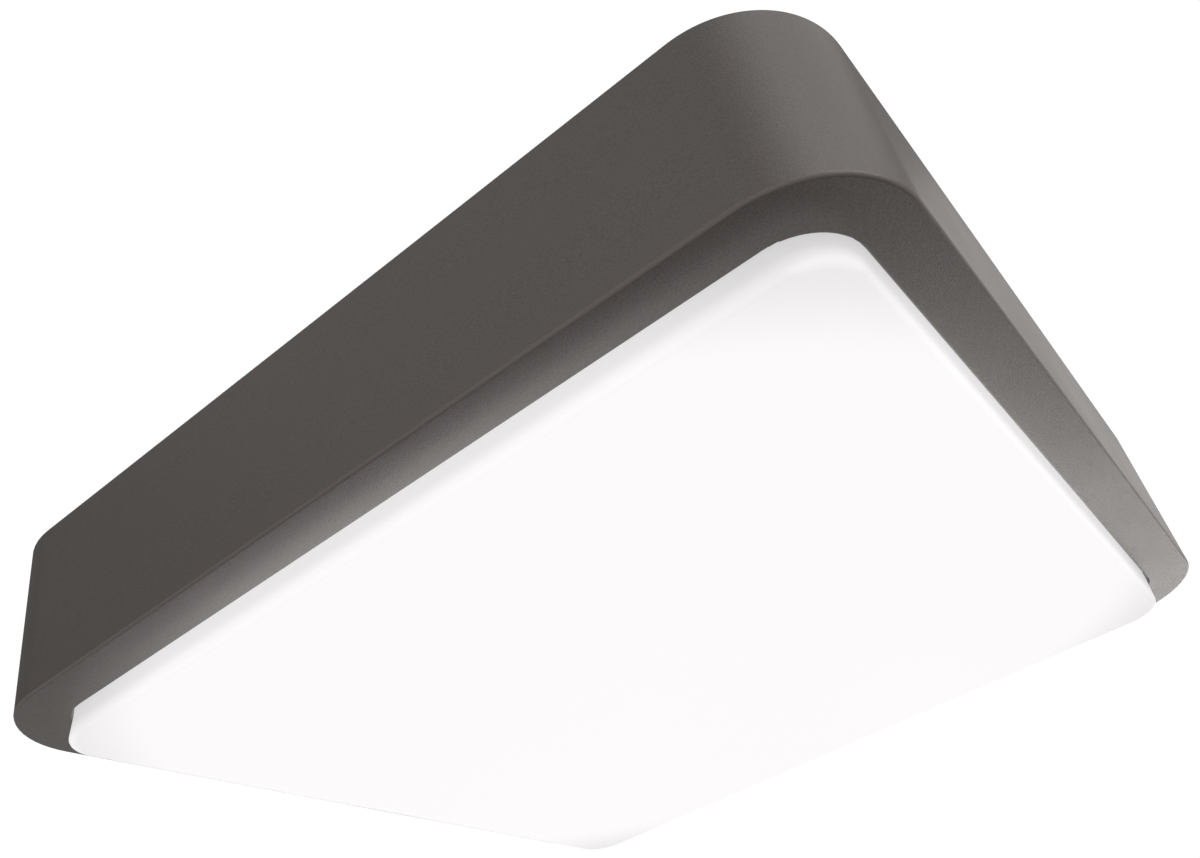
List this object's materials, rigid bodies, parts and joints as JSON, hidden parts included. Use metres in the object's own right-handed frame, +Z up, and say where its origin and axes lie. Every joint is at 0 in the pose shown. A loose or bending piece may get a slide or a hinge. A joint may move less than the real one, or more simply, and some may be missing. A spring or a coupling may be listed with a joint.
{
  "type": "outdoor wall light",
  "caption": "Square outdoor wall light: rounded dark cast cover with a flat bezel and a raised opal panel, over a wall base carrying the LED board, driver and terminals.",
  "frame": {"origin": "centre of the wall slots, on the plane of the wall", "axes": "+Z up the wall, -Y out of the wall into the room, +X to the right for a person facing the light"},
  "size_m": [0.24, 0.0509, 0.24],
  "materials": {
    "housing_coat": "die-cast, dark grey fine-texture powder coat",
    "opal_panel": "opal white, glossy, lit from inside",
    "seal_rubber": "smooth silicone rubber",
    "foam_rubber": "closed-cell foam",
    "zinc_steel": "zinc plated",
    "stainless": "stainless steel",
    "base_casting": "die-cast, blasted, bare",
    "white_enamel": "white coated sheet",
    "thermal_silicone": "soft silicone sheet",
    "board_white": "white solder mask on an aluminium core",
    "led_phosphor": "white package with yellow phosphor",
    "white_plastic": "natural nylon",
    "driver_plastic": "moulded, fine grain",
    "circuit_board": "green solder mask",
    "ferrite": "ferrite core with tape",
    "capacitor_sleeve": "shrink sleeve",
    "terminal_brass": "machined",
    "tinned_copper": "tin plated",
    "earth_insulation": "green and yellow insulation",
    "live_insulation": "brown insulation",
    "neutral_insulation": "blue insulation",
    "red_insulation": "red insulation",
    "black_insulation": "black insulation"
  },
  "bodies": {
    "base": {"base_plate": "base_casting", "cover_rails": "zinc_steel", "wall_gasket": "foam_rubber", "cable_grommet": "seal_rubber", "tray_spacers": "zinc_steel", "gear_tray": "white_enamel", "tray_screws": "zinc_steel", "lead_grommet": "seal_rubber", "thermal_pad": "thermal_silicone", "led_board": "board_white", "led_packages": "led_phosphor", "led_board_screws": "zinc_steel", "led_connector": "white_plastic", "driver_case": "driver_plastic", "driver_lid": "driver_plastic", "driver_board": "circuit_board", "driver_transformer": "ferrite", "driver_choke": "ferrite", "driver_capacitors": "capacitor_sleeve", "driver_screws": "zinc_steel", "terminal_block": "white_plastic", "terminal_inserts": "terminal_brass", "terminal_screws": "zinc_steel", "terminal_fixing_screws": "zinc_steel", "earth_screw": "terminal_brass", "earth_washer": "zinc_steel", "earth_ring_terminal": "tinned_copper", "earth_lead": "earth_insulation", "live_lead": "live_insulation", "neutral_lead": "neutral_insulation", "led_lead_positive": "red_insulation", "led_lead_negative": "black_insulation"},
    "cover": {"housing": "housing_coat", "diffuser": "opal_panel", "diffuser_gasket": "seal_rubber", "diffuser_clips": "zinc_steel", "diffuser_clip_screws": "zinc_steel"},
    "screw_left": {"cover_screw_left": "stainless"},
    "screw_right": {"cover_screw_right": "stainless"}
  },
  "joints": [
    {"name": "cover_pull", "type": "slide", "parent": "base", "child": "cover", "axis": [0, -1, 0], "range_m": [0, 0.08]},
    {"name": "screw_left_turn", "type": "hinge", "parent": "cover", "child": "screw_left", "pos_m": [-0.07, -0.0095, -0.115], "axis": [0, 0, 1], "continuous": true},
    {"name": "screw_right_turn", "type": "hinge", "parent": "cover", "child": "screw_right", "pos_m": [0.07, -0.0095, -0.115], "axis": [0, 0, 1], "continuous": true}
  ]
}
